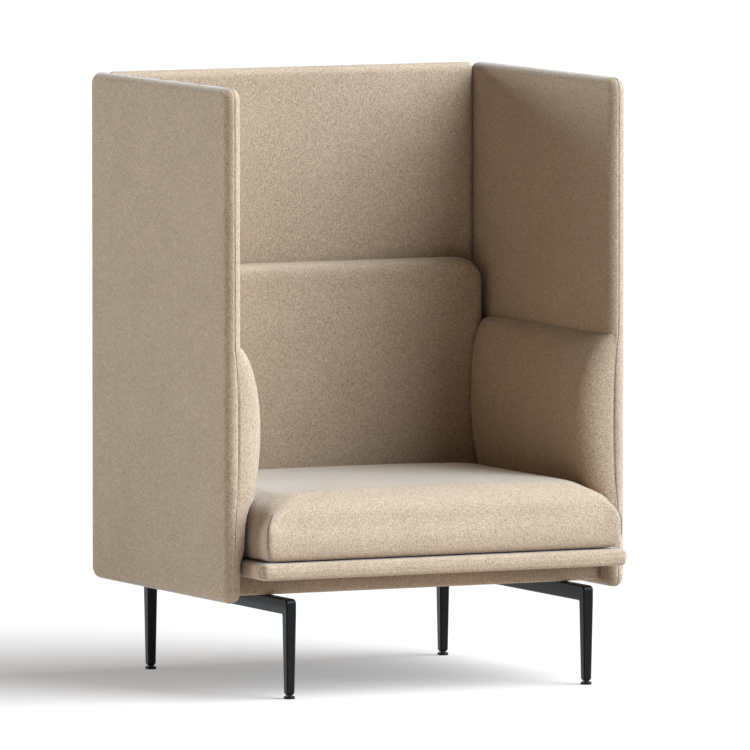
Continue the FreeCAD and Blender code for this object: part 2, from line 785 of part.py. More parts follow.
def back_form():
    """Back cushion: flat behind, crowned in front, all edges rounded."""
    rear = (back_face_y - size("back_gap")).value
    front = size("back_front").value
    low, high = size("back_bottom").value, size("back_top").value
    radius, crown = size("back_round").value, size("back_crown").value
    half = size("back_half").value
    depth = rear - front - crown
    stations = [(low + radius * s, radius * s) for s in END_STEPS]
    stations.append(((low + high) / 2, radius))
    stations += [(high - radius * s, radius * s) for s in reversed(END_STEPS)]
    wires = []
    for z, reach in stations:
        drawn = inset_of(reach, radius)
        thick = depth - drawn * 1.5
        corner = min(radius, thick * 0.46)
        fullness = crown * (1 - 0.8 * drawn / radius)
        wires.append(pillow_section(lambda u, v, z=z: (u, rear - v, z), half - drawn, drawn * 0.5,
                                    drawn * 0.5 + thick, fullness, corner * 0.7, corner))
    return Part.makeLoft(wires, True, True)


# Swell of an arm bolster at levels between its lower and upper edge, as parts of the full swell
BOLSTER_SHAPE = {"upper": (0.75, 0.833), "full": (1.0, 0.6), "middle": (0.92, 0.45), "waist": (0.66, 0.272),
                 "tuck": (0.36, 0.2), "lower": (0.16, 0.0)}


BOLSTER_STEPS = (0.03, 0.18, 0.5, 1.0)


def bolster_section(sign, y, swell):
    """Upright section of a bolster against the side panel's inner face."""
    low, high = size("seat_bottom").value + 1, size("bolster_top").value
    face = panel_inner_x.value

    def at(part, level):
        return (sign * (face - swell * part), y, low + (high - low) * level)

    spot = {name: at(*shape) for name, shape in BOLSTER_SHAPE.items()}
    top, bottom = at(0.03, 1.0), at(0, 0)
    edges = [through(top, spot["upper"], spot["full"]),
             through(spot["full"], spot["middle"], spot["waist"]),
             through(spot["waist"], spot["tuck"], spot["lower"]),
             line(spot["lower"], bottom), line(bottom, at(0, 1.0)), line(at(0, 1.0), top)]
    return Part.Wire(edges)


def bolster_form(sign):
    """Swollen arm pad with a rounded front end, running back to the back cushion."""
    front = panel_front_y.value + size("panel_thickness").value / 2
    rear = size("bolster_rear").value
    reach = size("bolster_front_round").value
    swell = size("bolster_swell").value
    stations = [(front + reach * s, swell * math.sqrt(1 - (1 - s) ** 2)) for s in BOLSTER_STEPS]
    stations += [((front + rear) / 2, swell), (rear - reach * 0.25, swell), (rear, swell * 0.9)]
    return Part.makeLoft([bolster_section(sign, y, s) for y, s in stations], True, True)


def soft(label, shape):
    thing = doc.addObject("Part::Feature", label + "_form")
    thing.Shape = shape
    return thing


def stuffed(form, label, core, width, depth, height, centre):
    """Cover with its fibre wrap round a plain foam block, and the foam itself."""
    foam = block(core + "_block", width, depth, height)
    place(foam, *centre)
    hollow = doc.addObject("Part::Cut", label + "_hollow")
    hollow.Base = form
    hollow.Tool = foam
    keep(hollow, label)
    keep(foam, core)


def build_soft_parts():
    for side, sign in SIDES:
        keep(soft(f"{side}_bolster", bolster_form(sign)), f"{side}_arm_bolster")
    wrap = as_size(22)
    seat_depth = size("seat_rear") - size("seat_front")
    seat_height = size("seat_top") - size("seat_bottom")
    stuffed(soft("seat", seat_form()), "seat_cushion_cover", "seat_cushion_foam",
            size("seat_rear_half") * 2 - wrap * 2, seat_depth - wrap * 2, seat_height - wrap * 1.2,
            (ZERO, (size("seat_front") + size("seat_rear")) / 2,
             (size("seat_top") + size("seat_bottom")) / 2))
    back_rear = back_face_y - size("back_gap")
    back_height = size("back_top") - size("back_bottom")
    stuffed(soft("back", back_form()), "back_cushion_cover", "back_cushion_foam",
            size("back_half") * 2 - wrap * 2, back_rear - size("back_front") - wrap * 1.6,
            back_height - wrap * 2,
            (ZERO, (back_rear + size("back_front")) / 2 + 1,
             (size("back_top") + size("back_bottom")) / 2))


# Metalwork and fasteners

def build_brackets():
    """Steel angles in the rear corners, behind the back cushion."""
    body = new_body("corner_angle")
    sketch = sketch_on(body, "CornerAngleSection", "XY_Plane")
    flange, steel = size("bracket_flange"), size("bracket_thickness")
    polygon(sketch, [(ZERO, ZERO), (-flange, ZERO), (-flange, -steel), (-steel, -steel), (-steel, -flange),
                     (ZERO, -flange)])
    pad(body, sketch, size("bracket_height"), "Symmetric")
    places = []
    holes = []
    for side, sign in SIDES:
        turn = Rotation(Vector(0, 0, 1), 0 if sign > 0 else 90)
        corner = Vector(sign * panel_inner_x.value, back_face_y.value, 0)
        places += [Placement(corner + Vector(0, 0, z), turn) for z in BRACKET_LEVELS]
        holes += bracket_side_places(sign) + bracket_back_places(sign)
    drilled(copies("corner_angle_set", body, places), [(bracket_drill, holes)], "corner_brackets")


def fastener(name, diameter, head, head_height, length):
    """Screw or bolt along +Z with the underside of its hexagonal head at the origin."""
    body = new_body(name)
    top = sketch_on(body, name + "Head", "XY_Plane", -head_height)
    regular_polygon(top, HEAD_SIDES, head)
    pad(body, top, head_height)
    shank = sketch_on(body, name + "Shank", "XY_Plane")
    regular_polygon(shank, SHANK_SIDES, diameter)
    pad(body, shank, length)
    return body


def threaded_insert(name, diameter, bore, length):
    body = new_body(name)
    section = sketch_on(body, name + "Section", "XY_Plane")
    regular_polygon(section, SHANK_SIDES, diameter)
    regular_polygon(section, SHANK_SIDES, bore)
    pad(body, section, length)
    return body


def build_fasteners():
    both = [sign for side, sign in SIDES]
    bolt = fastener("panel_bolt", size("panel_bolt_diameter"), size("panel_bolt_head"),
                    size("panel_bolt_head_height"), bolt_reach)
    bolts = [spot for sign in both for spot in side_bolt_places(sign)] + back_bolt_places()
    keep(copies("panel_bolt_set", bolt, bolts), "panel_bolts")
    insert = threaded_insert("panel_insert", size("panel_insert_diameter"),
                             size("panel_bolt_diameter") + clearance, size("panel_insert_length"))
    inserts = [spot for sign in both for spot in side_insert_places(sign)] + back_insert_places()
    keep(copies("panel_insert_set", insert, inserts), "panel_inserts")
    leg_screw = fastener("leg_screw", size("leg_screw_diameter"), size("leg_screw_head"),
                         size("leg_screw_head_height"), size("leg_screw_length"))
    leg_screws = [spot for sign in both for spot in leg_screw_places(sign)]
    keep(copies("leg_screw_set", leg_screw, leg_screws), "leg_screws")
    leg_insert = threaded_insert("leg_insert", size("leg_insert_diameter"),
                                 size("leg_screw_diameter") + clearance, size("leg_insert_length"))
    keep(copies("leg_insert_set", leg_insert, [spot for sign in both for spot in leg_insert_places(sign)]),
         "leg_inserts")
    wood = size("wood_screw_diameter"), size("wood_screw_head"), size("wood_screw_head_height")
    bracket_screw = fastener("bracket_screw", *wood, bracket_screw_reach)
    spots = [spot for sign in both for spot in bracket_side_places(sign) + bracket_back_places(sign)]
    keep(copies("bracket_screw_set", bracket_screw, spots), "bracket_screws")
    deck_screw = fastener("deck_screw", *wood, deck_screw_reach)
    keep(copies("deck_screw_set", deck_screw, deck_screw_places()), "deck_screws")


def build_grip_strips():
    """Non-slip strips under the seat cushion and hook strips behind the back cushion."""
    thickness = size("strip_thickness")
    across = block("deck_strip", size("deck_width") - 300, size("strip_width"), thickness)
    z = (size("deck_top") + thickness / 2).value
    rows = [Placement(Vector(0, y, z), Rotation()) for y in (-180, 120)]
    keep(copies("deck_strip_set", across, rows), "seat_grip_strips")
    upright = block("back_strip", size("strip_width"), thickness, as_size(360))
    y = (back_face_y - thickness / 2).value
    columns = [Placement(Vector(x, y, (size("back_top").value + size("back_bottom").value) / 2), Rotation())
               for x in (-220, 220)]
    keep(copies("back_strip_set", upright, columns), "back_grip_strips")


def check_and_write():
    doc.recompute()
    for thing in doc.Objects:
        if "Invalid" in thing.State or "Error" in thing.State:
            raise RuntimeError(f"{thing.Name} failed: {thing.State}")
    for thing in pieces:
        if thing.Shape.isNull() or not thing.Shape.isValid():
            raise RuntimeError(f"{thing.Label} has no valid shape")
    os.makedirs("parts", exist_ok=True)
    for thing in pieces:
        thing.Shape.exportStep(f"parts/{thing.Label}.step")
    print(len(pieces), "pieces")


deck_drill_head = drill("DeckScrewHeadHole", size("wood_screw_head") + 2, size("wood_screw_head_height") * 3)
build_side_panels()
build_back_panel()
build_frame()
build_corner_blocks()
build_covers()
build_deck()
for side_name, side_sign in SIDES:
    build_leg_frame(side_name, side_sign)
build_glides()
build_soft_parts()
build_brackets()
build_fasteners()
build_grip_strips()
check_and_write()
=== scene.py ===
import json
import math

import bmesh
import bpy
import numpy as np
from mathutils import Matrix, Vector


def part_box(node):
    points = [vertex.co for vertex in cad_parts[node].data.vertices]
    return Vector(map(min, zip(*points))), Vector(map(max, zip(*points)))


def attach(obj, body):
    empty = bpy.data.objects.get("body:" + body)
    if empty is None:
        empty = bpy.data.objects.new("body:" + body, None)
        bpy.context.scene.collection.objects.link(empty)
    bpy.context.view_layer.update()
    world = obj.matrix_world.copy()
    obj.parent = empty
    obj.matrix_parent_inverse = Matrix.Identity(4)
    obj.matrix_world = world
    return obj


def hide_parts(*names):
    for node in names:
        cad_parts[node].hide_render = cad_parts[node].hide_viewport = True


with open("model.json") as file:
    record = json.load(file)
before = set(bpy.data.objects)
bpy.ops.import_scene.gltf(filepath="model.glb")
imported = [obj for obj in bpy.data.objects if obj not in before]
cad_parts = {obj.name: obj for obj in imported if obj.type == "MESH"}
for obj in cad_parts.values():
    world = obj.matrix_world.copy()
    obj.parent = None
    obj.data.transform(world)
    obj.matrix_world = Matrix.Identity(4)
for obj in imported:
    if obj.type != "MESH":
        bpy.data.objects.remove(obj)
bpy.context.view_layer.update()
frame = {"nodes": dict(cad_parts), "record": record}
nodes = frame["nodes"]
SIDES = (("left", -1), ("right", 1))
MM = 0.001


# Mesh helpers

SHARPEST = 0.3 * MM
CORNERS = ((1, -1, -90), (1, 1, 0), (-1, 1, 90), (-1, -1, 180))
TUBE_SIDES = 8
TUBE_END = 0.4


def mesh_piece(name, points, faces):
    """New smooth-shaded object from points and faces, with its normals facing out."""
    mesh = bpy.data.meshes.new(name)
    mesh.from_pydata([tuple(p) for p in points], [], faces)
    work = bmesh.new()
    work.from_mesh(mesh)
    bmesh.ops.recalc_face_normals(work, faces=work.faces)
    work.to_mesh(mesh)
    work.free()
    smooth(mesh)
    piece = bpy.data.objects.new(name, mesh)
    bpy.context.scene.collection.objects.link(piece)
    return piece


def smooth(mesh):
    mesh.polygons.foreach_set("use_smooth", [True] * len(mesh.polygons))


def loft(name, rings):
    """Closed form through rings of equally many points, with a flat cap at both ends."""
    count = len(rings[0])
    points = np.concatenate(rings)
    faces = []
    for k in range(len(rings) - 1):
        for i in range(count):
            j = (i + 1) % count
            faces.append((k * count + i, k * count + j, (k + 1) * count + j, (k + 1) * count + i))
    faces.append(tuple(range(count)))
    faces.append(tuple(range((len(rings) - 1) * count, len(rings) * count)))
    return mesh_piece(name, points, faces)


def quarter(steps, start=0):
    """Angles of a quarter turn in equal steps, with both its ends."""
    return [math.radians(start + 90 * i / steps) for i in range(steps + 1)]


def rounded_ring(half_a, half_b, corner, inset, counts):
    """Rounded rectangle drawn in by an inset, as (a, b) points with the same layout at every inset."""
    along_a, along_b, round_steps = counts
    far_a, far_b = half_a - inset, half_b - inset
    radius = max(corner - inset, SHARPEST)
    arcs = []
    for sign_a, sign_b, start in CORNERS:
        centre = np.array((sign_a * (far_a - radius), sign_b * (far_b - radius)))
        arcs.append([centre + radius * np.array((math.cos(turn), math.sin(turn)))
                     for turn in quarter(round_steps, start)])
    points = []
    for k, steps in enumerate((along_b, along_a, along_b, along_a)):
        last, ahead = arcs[k][-1], arcs[(k + 1) % len(arcs)][0]
        points += arcs[k]
        points += [last + (ahead - last) * i / steps for i in range(1, steps)]
    return np.array(points)


def tube(name, path, radius):
    """Closed round thread along a path of points."""
    path = np.asarray(path, float)
    rings = []
    for k in range(len(path)):
        ahead = Vector(path[min(k + 1, len(path) - 1)] - path[max(k - 1, 0)]).normalized()
        across = ahead.orthogonal().normalized()
        other = ahead.cross(across)
        across, other = np.array(across), np.array(other)
        reach = radius * (TUBE_END if k in (0, len(path) - 1) else 1)
        rings.append(np.array([path[k] + reach * (math.cos(turn) * across + math.sin(turn) * other)
                               for turn in np.linspace(0, 2 * math.pi, TUBE_SIDES, endpoint=False)]))
    return loft(name, rings)


def smoothstep(x):
    x = np.clip(x, 0, 1)
    return x * x * (3 - 2 * x)


def soft_limit(values, limit, margin):
    """Values that press softly against a limit, without passing it."""
    over = np.clip((values - limit + margin) / margin, 0, None)
    return np.where(values > limit - margin, limit - margin + margin * np.tanh(over), values)


def coordinates(mesh):
    flat = np.empty(len(mesh.vertices) * 3)
    mesh.vertices.foreach_get("co", flat)
    return flat.reshape(-1, 3)


def set_coordinates(piece, points):
    piece.data.vertices.foreach_set("co", np.ascontiguousarray(points).ravel())
    piece.data.update()


def dress(piece, body, slot, material, *replaced):
    """Gives a piece its body and material, and hides the CAD nodes that it stands for."""
    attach(piece, body)
    if replaced:
        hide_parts(*replaced)
    piece.data.materials.clear()
    piece.data.materials.append(material)
    return piece


# Materials

SHEEN_ROUGHNESS = 0.25
UPRIGHT_TURN = (0.0, 0.0, 0.61)
FREE_TURN = (0.52, 0.43, 0.61)
GRAIN_TURN = (0.35, 0.0, 0.0)
YARN_PITCH = 2.3 * MM
WAVE_SCALE = 2 * math.pi / (20 * YARN_PITCH)
WAVE_WOBBLE = 1.2
FLECK_COUNT = 720
STREAK_ACROSS = 820
STREAK_ALONG = 150
CLOUD_COUNT = 9
FLECK_WEIGHT, WARP_WEIGHT, WEFT_WEIGHT, CLOUD_WEIGHT = 0.66, 0.20, 0.11, 0.03
MELANGE_STOPS = (0.41, 0.5, 0.59)
WEAVE_RELIEF, FLECK_RELIEF = 0.35, 0.8
WOOD_COUNT = (14, 160, 160)


def new_material(name, roughness, specular=0.3, metallic=0.0, sheen=0.0):
    material = bpy.data.materials.new(name)
    material.use_nodes = True
    shader = material.node_tree.nodes["Principled BSDF"]
    shader.inputs["Roughness"].default_value = roughness
    shader.inputs["Specular IOR Level"].default_value = specular
    shader.inputs["Metallic"].default_value = metallic
    shader.inputs["Sheen Weight"].default_value = sheen
    shader.inputs["Sheen Roughness"].default_value = SHEEN_ROUGHNESS
    return material, material.node_tree.nodes, material.node_tree.links, shader


def scaled_noise(tree, links, coords, scale, detail=2.0, rough=0.5, turn=FREE_TURN):
    """Noise with (x, y, z) counts to the metre on object coordinates.

    The coordinates are turned first, so that no face lies along the grid of the noise.
    """
    turned = tree.new("ShaderNodeMapping")
    turned.inputs["Rotation"].default_value = turn
    links.new(coords.outputs["Object"], turned.inputs["Vector"])
    mapping = tree.new("ShaderNodeMapping")
    mapping.inputs["Scale"].default_value = scale
    links.new(turned.outputs["Vector"], mapping.inputs["Vector"])
    noise = tree.new("ShaderNodeTexNoise")
    noise.inputs["Scale"].default_value = 1.0
    noise.inputs["Detail"].default_value = detail
    noise.inputs["Roughness"].default_value = rough
    links.new(mapping.outputs["Vector"], noise.inputs["Vector"])
    return noise.outputs["Fac"]


def math_node(tree, links, kind, a, b):
    """Math node on two values, each a number or another node's output."""
    node = tree.new("ShaderNodeMath")
    node.operation = kind
    for socket, value in zip(node.inputs, (a, b)):
        if isinstance(value, (int, float)):
            socket.default_value = value
        else:
            links.new(value, socket)
    return node.outputs[0]


def weighted_sum(tree, links, parts):
    """Sum of (output, weight) pairs."""
    total = None
    for part, weight in parts:
        share = math_node(tree, links, "MULTIPLY", part, weight)
        total = share if total is None else math_node(tree, links, "ADD", total, share)
    return total


def colour_ramp(tree, links, factor, stops):
    ramp = tree.new("ShaderNodeValToRGB")
    elements = ramp.color_ramp.elements
    while len(elements) < len(stops):
        elements.new(0.5)
    for element, (position, colour) in zip(elements, stops):
        element.position = position
        element.color = (*colour, 1)
    links.new(factor, ramp.inputs["Fac"])
    return ramp.outputs["Color"]


def bump(tree, links, shader, height, strength, distance):
    node = tree.new("ShaderNodeBump")
    node.inputs["Strength"].default_value = strength
    node.inputs["Distance"].default_value = distance
    links.new(height, node.inputs["Height"])
    links.new(node.outputs["Normal"], shader.inputs["Normal"])


def wool_weave(name, light, middle, dark):
    """Melange wool: a plain weave of flecked yarn, with warp streaks upright and weft streaks across."""
    material, tree, links, shader = new_material(name, 0.95, 0.1, sheen=0.7)
    shader.inputs["Sheen Tint"].default_value = (0.95, 0.98, 1.0, 1)
    coords = tree.new("ShaderNodeTexCoord")
    fleck = scaled_noise(tree, links, coords, (FLECK_COUNT,) * 3, 3.0, 0.65)
    warp_scale = (STREAK_ACROSS, STREAK_ACROSS, STREAK_ALONG)
    weft_scale = (STREAK_ALONG, STREAK_ALONG, STREAK_ACROSS)
    warp = scaled_noise(tree, links, coords, warp_scale, 2.0, 0.6, UPRIGHT_TURN)
    weft = scaled_noise(tree, links, coords, weft_scale, 2.0, 0.6, UPRIGHT_TURN)
    cloud = scaled_noise(tree, links, coords, (CLOUD_COUNT,) * 3, 3.0, 0.5)
    melange = weighted_sum(tree, links, ((fleck, FLECK_WEIGHT), (warp, WARP_WEIGHT), (weft, WEFT_WEIGHT),
                                         (cloud, CLOUD_WEIGHT)))
    colour = colour_ramp(tree, links, melange, tuple(zip(MELANGE_STOPS, (dark, middle, light))))
    links.new(colour, shader.inputs["Base Color"])
    bands = []
    for direction in ("X", "Y", "Z"):
        wave = tree.new("ShaderNodeTexWave")
        wave.bands_direction = direction
        wave.inputs["Scale"].default_value = WAVE_SCALE
        wave.inputs["Distortion"].default_value = WAVE_WOBBLE
        wave.inputs["Detail"].default_value = 1.0
        links.new(coords.outputs["Object"], wave.inputs["Vector"])
        bands.append(wave.outputs["Fac"])
    facing = tree.new("ShaderNodeSeparateXYZ")
    links.new(coords.outputs["Normal"], facing.inputs["Vector"])
    crossings = []
    for axis in range(3):
        crossing = math_node(tree, links, "MULTIPLY", bands[axis - 2], bands[axis - 1])
        crossings.append((crossing, math_node(tree, links, "POWER", facing.outputs[axis], 2.0)))
    weave = weighted_sum(tree, links, crossings)
    height = weighted_sum(tree, links, ((weave, WEAVE_RELIEF), (fleck, FLECK_RELIEF)))
    bump(tree, links, shader, height, 0.55, 0.9 * MM)
    return material


def grained_wood(name, light, dark):
    material, tree, links, shader = new_material(name, 0.62)
    coords = tree.new("ShaderNodeTexCoord")
    grain = scaled_noise(tree, links, coords, WOOD_COUNT, 4.0, 0.6, GRAIN_TURN)
    colour = colour_ramp(tree, links, grain, ((0.35, dark), (0.65, light)))
    links.new(colour, shader.inputs["Base Color"])
    bump(tree, links, shader, grain, 0.2, 0.4 * MM)
    return material


def speckled(name, light, dark, count, roughness, specular, metallic=0.0, depth=0.1):
    """Plain finish with the fine unevenness of a coat, casting, cut foam or non-woven cloth."""
    material, tree, links, shader = new_material(name, roughness, specular, metallic)
    coords = tree.new("ShaderNodeTexCoord")
    grain = scaled_noise(tree, links, coords, (count,) * 3, 3.0, 0.6)
    colour = colour_ramp(tree, links, grain, ((0.3, dark), (0.7, light)))
    links.new(colour, shader.inputs["Base Color"])
    bump(tree, links, shader, grain, 0.25, depth * MM)
    return material


def grey(value):
    return (value,) * 3


WOOL = wool_weave("oatmeal_wool", (0.556, 0.422, 0.300), (0.373, 0.275, 0.189), (0.180, 0.122, 0.077))
# Seam thread, coloured darker than the wool so that it also paints the shade of the crease at the seat's
# front corners.
SEAM_THREAD_AND_SHADE = speckled("seam_thread_and_shade", (0.21, 0.17, 0.125), (0.12, 0.095, 0.07), 900, 0.95, 0.1, depth=0.4)
CAD_LOOKS = {
    "plywood": grained_wood("birch_plywood", (0.72, 0.58, 0.40), (0.55, 0.41, 0.26)),
    "timber": grained_wood("raw_beech", (0.62, 0.45, 0.30), (0.48, 0.33, 0.20)),
    "foam": speckled("cut_foam", (0.86, 0.84, 0.74), (0.72, 0.70, 0.60), 700, 0.95, 0.1, depth=0.6),
    "dust_cloth": speckled("dust_cloth", (0.035, 0.035, 0.037), (0.015, 0.015, 0.016), 900, 0.95, 0.1,
                           depth=0.4),
    "leg_casting": speckled("black_satin_coat", grey(0.006), grey(0.003), 650, 0.36, 0.14, depth=0.05),
    "zinc_steel": speckled("zinc_plate", (0.66, 0.65, 0.60), (0.50, 0.49, 0.46), 300, 0.38, 0.5,
                           metallic=1.0, depth=0.05),
    "grip_strip": speckled("grip_strip", grey(0.05), grey(0.02), 1200, 0.9, 0.2, depth=0.5),
    "glide_steel": speckled("black_zinc", grey(0.06), grey(0.03), 400, 0.4, 0.5, metallic=0.8, depth=0.05),
    "glide_foot": speckled("glide_plastic", grey(0.010), grey(0.006), 500, 0.55, 0.2, depth=0.05),
}


# Padded panels

HALF_T = 17.5 * MM
PANEL_INNER = 403 * MM
PANEL_CORNER = 24 * MM
BACK_CORNER = 10 * MM
PANEL_COUNTS = (26, 40, 7)
SEAM_DEPTH = 1.5 * MM
SEAM_WIDTH = 1.2 * MM
FRONT_PUFF = 0.8 * MM
OUTER_PUFF = 2.2 * MM
PUFF_RISE = 50 * MM
SEAM_DRIFT = math.radians(30)
DRIFT_BAND = 30 * MM
DRIFT_FOOT = 0.27
DRIFT_RISE = 0.12
ROUND_ANGLES = (90, 78, 66, 54, 42, 31, 22, 15, 10, 7, 5, 3, 1.5, 0)
FACE_INSETS = (0.25, 0.17, 0.11, 0.07, 0.045, 0.028)
FACE_MIDDLE = 8 * MM
BOLSTER_TOP = 0.690
BOLSTER_FULL = 0.528
BOLSTER_WAIST = 0.389
BOLSTER_FOOT = 0.255
UPPER_POWER = 1.35
WAIST_LOSS = 0.33
TUCK_LEAST = 0.2
TUCK_LENGTH = 27 * MM
FOOT_RISE = 40 * MM


def bolster_fullness(z):
    """Share of the full swell of an arm bolster at a height: a full round above, a slow taper below."""
    z = np.asarray(z, float)
    up = np.clip((BOLSTER_TOP - z) / (BOLSTER_TOP - BOLSTER_FULL), 0, 1)
    upper = np.sqrt(1 - (1 - up) ** 2) ** UPPER_POWER
    down = np.clip((BOLSTER_FULL - z) / (BOLSTER_FULL - BOLSTER_WAIST), 0, 1)
    lower = 1 - WAIST_LOSS * down ** 2
    fading = np.exp(-np.clip(BOLSTER_WAIST - z, 0, 1) / TUCK_LENGTH)
    tucked = TUCK_LEAST + (1 - WAIST_LOSS - TUCK_LEAST) * fading
    tucked = tucked * smoothstep((z - BOLSTER_FOOT) / FOOT_RISE)
    return np.where(z >= BOLSTER_FULL, upper, np.where(z >= BOLSTER_WAIST, lower, tucked))


def seam_turn(z):
    """Angle by which the front seam of a side panel is drawn inwards beside the arm bolster."""
    return SEAM_DRIFT * bolster_fullness(z) * smoothstep((np.asarray(z) - DRIFT_FOOT) / DRIFT_RISE)


def panel_rings(half_a, half_b, corner, drift, puffs):
    """Rings from the middle of one face over the full round of the edge to the middle of the other face."""
    angles = [math.radians(a) for a in ROUND_ANGLES]
    angles = angles + [-a for a in reversed(angles[:-1])]
    face_insets = (half_a - FACE_MIDDLE,) + FACE_INSETS

    def ring_at(inset):
        return rounded_ring(half_a, half_b, corner, inset, PANEL_COUNTS)

    def face(inset, sign, puff):
        ring = ring_at(inset)
        puff = puff * (1 - math.exp(-(inset - HALF_T) / PUFF_RISE))
        return np.column_stack((ring, np.full(len(ring), sign * (HALF_T + puff))))

    def edge(angle):
        turned = angle - drift(ring_at(0)) * math.cos(angle) ** 2
        groove = SEAM_DEPTH * math.exp(-(HALF_T * angle / SEAM_WIDTH) ** 2)
        insets = HALF_T - (HALF_T * np.cos(turned) - groove)
        ring = np.array([ring_at(inset)[i] for i, inset in enumerate(insets)])
        return np.column_stack((ring, HALF_T * np.sin(turned)))

    rings = [face(inset, 1, puffs[0]) for inset in face_insets]
    rings += [edge(angle) for angle in angles]
    rings += [face(inset, -1, puffs[1]) for inset in reversed(face_insets)]
    return rings


def build_side_panels():
    for side, sign in SIDES:
        low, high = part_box(f"{side}_panel_outer_pad")
        inner_low, inner_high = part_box(f"{side}_panel_inner_pad")
        middle = (min(low.x, inner_low.x) + max(high.x, inner_high.x)) / 2
        half_a, half_b = (high.y - low.y) / 2, (high.z - low.z) / 2
        mid_y, mid_z = (high.y + low.y) / 2, (high.z + low.z) / 2

        def drift(ring):
            front = smoothstep((-ring[:, 0] - half_a + DRIFT_BAND) / DRIFT_BAND)
            return front * seam_turn(ring[:, 1] + mid_z)

        rings = [np.column_stack((middle + sign * r[:, 2], mid_y + r[:, 0], mid_z + r[:, 1]))
                 for r in panel_rings(half_a, half_b, PANEL_CORNER, drift, (OUTER_PUFF, FRONT_PUFF))]
        piece = loft(f"{side}_panel_cover", rings)
        dress(piece, "sofa", "upholstery", WOOL, f"{side}_panel_outer_pad", f"{side}_panel_inner_pad")


def build_back_panel():
    low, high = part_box("back_panel_front_pad")
    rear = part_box("back_panel_rear_pad")[1].y
    mid_y, mid_z = (low.y + rear) / 2, (high.z + low.z) / 2
    half_a, half_b = (high.x - low.x) / 2, (high.z - low.z) / 2

    def no_drift(ring):
        return np.zeros(len(ring))

    rings = [np.column_stack((r[:, 0], mid_y - r[:, 2], mid_z + r[:, 1]))
             for r in panel_rings(half_a, half_b, BACK_CORNER, no_drift, (FRONT_PUFF, OUTER_PUFF))]
    piece = loft("back_panel_cover", rings)
    dress(piece, "sofa", "upholstery", WOOL, "back_panel_front_pad", "back_panel_rear_pad")


# Arm bolsters

BOLSTER_SWELL = 56 * MM
BOLSTER_NOSE = 42 * MM
NOSE_LEAST = 0.45
REAR_FULLNESS = 0.6
REAR_ROUND = 22 * MM
REAR_LOSS = 0.4
BOLSTER_START = 0.258
TOP_BAND = 12 * MM
TOP_SHARE, TOP_POWER = 0.92, 1.8
SEAM_GAP = 1.2 * MM
INSIDE_PANEL = 1.5 * MM
INSIDE_FRONT = (4 * MM, 25 * MM)
BOLSTER_ROWS = (84, 12)
NOSE_STEPS, LENGTH_STEPS, REAR_STEPS = 14, 29, 6


def bolster_row(z, inner, front, rear):
    """Outline of an arm bolster at a height, as (distance from the middle, y) points."""
    full = float(bolster_fullness(z))
    drawn = float(seam_turn(z))

    def swell(t):
        power = 1 - REAR_FULLNESS * float(smoothstep(t)) if z > BOLSTER_FULL else 1
        return BOLSTER_SWELL * full ** power

    seam = inner + HALF_T * (1 - math.sin(drawn))
    start = front + HALF_T * (1 - math.cos(drawn)) + SEAM_GAP
    nose = BOLSTER_NOSE * (NOSE_LEAST + (1 - NOSE_LEAST) * full)
    row = [(inner + INSIDE_PANEL, rear), (inner + INSIDE_FRONT[0], front + INSIDE_FRONT[1])]
    for turn in quarter(NOSE_STEPS):
        row.append((seam - (seam - inner + swell(0)) * math.sin(turn), start + nose * (1 - math.cos(turn))))
    start = row[-1][1]
    for i in range(1, LENGTH_STEPS + 1):
        t = i / LENGTH_STEPS
        row.append((inner - swell(t), start + (rear - REAR_ROUND - start) * t))
    for turn in quarter(REAR_STEPS)[1:]:
        left = 1 - REAR_LOSS * (1 - math.cos(turn))
        row.append((inner - swell(1) * left, rear - REAR_ROUND * (1 - math.sin(turn))))
    return row


def build_bolsters():
    """Swollen arm pad: from the panel's front seam round a blunt nose and back to the back cushion."""
    lower = np.linspace(BOLSTER_START, BOLSTER_TOP - TOP_BAND, BOLSTER_ROWS[0])
    upper = BOLSTER_TOP - TOP_BAND * np.linspace(TOP_SHARE, 0, BOLSTER_ROWS[1]) ** TOP_POWER
    heights = np.concatenate((lower, upper))
    for side, sign in SIDES:
        low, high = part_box(f"{side}_arm_bolster")
        inner = high.x if sign > 0 else -low.x
        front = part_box(f"{side}_panel_inner_pad")[0].y
        rings = [np.array([(sign * x, y, z) for x, y in bolster_row(z, inner, front, high.y)])
                 for z in heights]
        piece = loft(f"{side}_arm_bolster_cover", rings)
        dress(piece, "sofa", "upholstery", WOOL, f"{side}_arm_bolster")


# Cushions

DEPTH_STEPS = (0.06, 0.1, 0.15, 0.22, 0.3, 0.4, 0.5, 0.62, 0.75, 0.88, 1.0)
PILLOW_MIDDLE = 6 * MM
ROUND_STEPS = 8
SIDE_STEPS = 6
EASE_RATE = 1.2
EASE_LEAST = 0.02
VOXEL = 6 * MM
SIM_FRAMES = 20
CLOTH_QUALITY = 5
LEAST_HOLD = 0.01
SWELL_CAP = 8 * MM
SMOOTH_PASSES = 6
FOAM_MARGIN = 9 * MM
FOAM_EDGE = 0.7
FOAM_COUNTS = (12, 10, 6)


